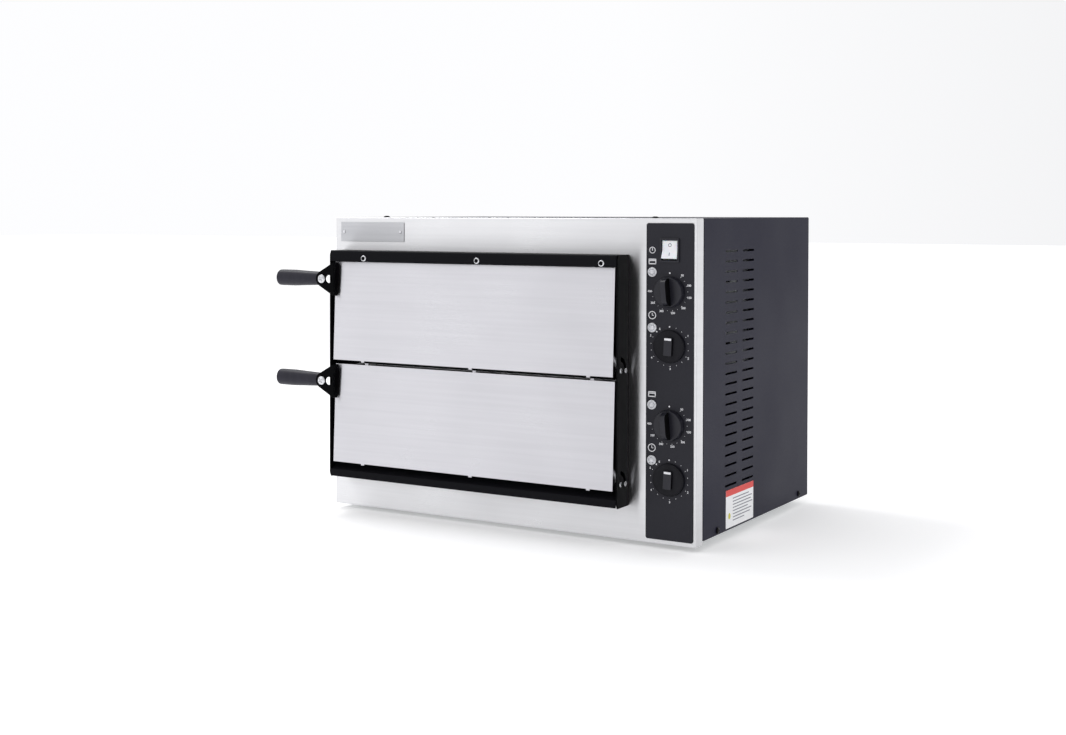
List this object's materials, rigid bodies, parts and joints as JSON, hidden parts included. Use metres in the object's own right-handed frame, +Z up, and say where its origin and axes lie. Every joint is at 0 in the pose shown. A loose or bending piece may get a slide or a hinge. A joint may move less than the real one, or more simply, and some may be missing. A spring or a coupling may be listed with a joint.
{
  "type": "countertop pizza oven",
  "caption": "Countertop electric pizza oven with stacked baking chambers, drop-down doors with side handles, and a control strip of knobs, lamps and a rocker switch.",
  "frame": {"origin": "bottom centre of the whole object's box, on the surface the feet stand on", "axes": "+X to the right seen from in front, along the longest side; +Y to the rear; +Z up; the doors face -Y"},
  "size_m": [0.6546, 0.5084, 0.4407],
  "materials": {
    "stainless": "brushed stainless sheet",
    "black_paint": "black powder coat on steel sheet",
    "galvanised": "galvanised sheet",
    "aluminised": "aluminised steel sheet",
    "fireclay": "fired refractory clay",
    "mineral_wool": "mineral wool",
    "element_sheath": "heat-darkened alloy tube",
    "control_plastic": "moulded black",
    "bakelite": "satin phenolic",
    "zinc_steel": "zinc plated",
    "black_steel": "black oxide",
    "overlay_film": "printed satin film",
    "clear_lens": "clear moulded",
    "white_plastic": "moulded white",
    "rubber": "moulded rubber",
    "label_film": "label film"
  },
  "bodies": {
    "shell": {"front_panel": "stainless", "outer_cover": "black_paint", "base_plate": "galvanised", "rear_panel": "black_paint", "cable_gland": "control_plastic", "terminal_block": "white_plastic", "foot_front_left": "rubber", "foot_front_right": "rubber", "foot_rear_left": "rubber", "foot_rear_right": "rubber", "control_compartment_wall": "galvanised", "insulation_blanket": "mineral_wool", "cover_screw_top_left": "black_steel", "cover_screw_top_right": "black_steel", "cover_screw_side_front": "black_steel", "cover_screw_side_rear": "black_steel", "control_overlay": "overlay_film", "lower_heat_lamp": "clear_lens", "lower_timer_lamp": "clear_lens", "upper_heat_lamp": "clear_lens", "upper_timer_lamp": "clear_lens", "lower_thermostat": "white_plastic", "lower_timer": "white_plastic", "upper_thermostat": "white_plastic", "upper_timer": "white_plastic", "switch_housing": "control_plastic", "nameplate": "stainless", "side_label": "label_film", "frame_left_cheek": "black_paint", "frame_right_cheek": "black_paint", "frame_top_bar": "black_paint", "frame_bottom_bar": "black_paint", "frame_divider": "black_paint", "lower_chamber": "aluminised", "lower_baking_stone": "fireclay", "lower_bottom_element": "element_sheath", "lower_top_element": "element_sheath", "lower_hinge_pin_right": "zinc_steel", "lower_hinge_pin_left": "zinc_steel", "upper_chamber": "aluminised", "upper_baking_stone": "fireclay", "upper_bottom_element": "element_sheath", "upper_top_element": "element_sheath", "upper_hinge_pin_right": "zinc_steel", "upper_hinge_pin_left": "zinc_steel"},
    "upper_door": {"upper_door_skin": "stainless", "upper_door_liner": "aluminised", "upper_handle_bracket": "black_paint", "upper_handle_grip": "bakelite", "upper_handle_screw": "zinc_steel"},
    "lower_door": {"lower_door_skin": "stainless", "lower_door_liner": "aluminised", "lower_handle_bracket": "black_paint", "lower_handle_grip": "bakelite", "lower_handle_screw": "zinc_steel"},
    "upper_thermostat_dial": {"upper_thermostat_knob": "control_plastic"},
    "lower_thermostat_dial": {"lower_thermostat_knob": "control_plastic"},
    "upper_timer_dial": {"upper_timer_knob": "control_plastic"},
    "lower_timer_dial": {"lower_timer_knob": "control_plastic"},
    "rocker": {"switch_rocker": "white_plastic"}
  },
  "joints": [
    {"name": "upper_door_hinge", "type": "hinge", "parent": "shell", "child": "upper_door", "pos_m": [0, -0.23585, 0.2363], "axis": [1, 0, 0], "range_deg": [0, 80]},
    {"name": "lower_door_hinge", "type": "hinge", "parent": "shell", "child": "lower_door", "pos_m": [0, -0.23585, 0.0853], "axis": [1, 0, 0], "range_deg": [0, 80]},
    {"name": "upper_thermostat_turn", "type": "hinge", "parent": "shell", "child": "upper_thermostat_dial", "pos_m": [0.28745, -0.2179, 0.3413], "axis": [0, 1, 0], "range_deg": [0, 300]},
    {"name": "lower_thermostat_turn", "type": "hinge", "parent": "shell", "child": "lower_thermostat_dial", "pos_m": [0.28745, -0.2179, 0.1658], "axis": [0, 1, 0], "range_deg": [0, 300]},
    {"name": "upper_timer_turn", "type": "hinge", "parent": "shell", "child": "upper_timer_dial", "pos_m": [0.28745, -0.2179, 0.2695], "axis": [0, 1, 0], "range_deg": [0, 330]},
    {"name": "lower_timer_turn", "type": "hinge", "parent": "shell", "child": "lower_timer_dial", "pos_m": [0.28745, -0.2179, 0.094], "axis": [0, 1, 0], "range_deg": [0, 330]},
    {"name": "switch_rock", "type": "hinge", "parent": "shell", "child": "rocker", "pos_m": [0.28745, -0.20685, 0.396], "axis": [1, 0, 0], "range_deg": [0, 20]}
  ]
}
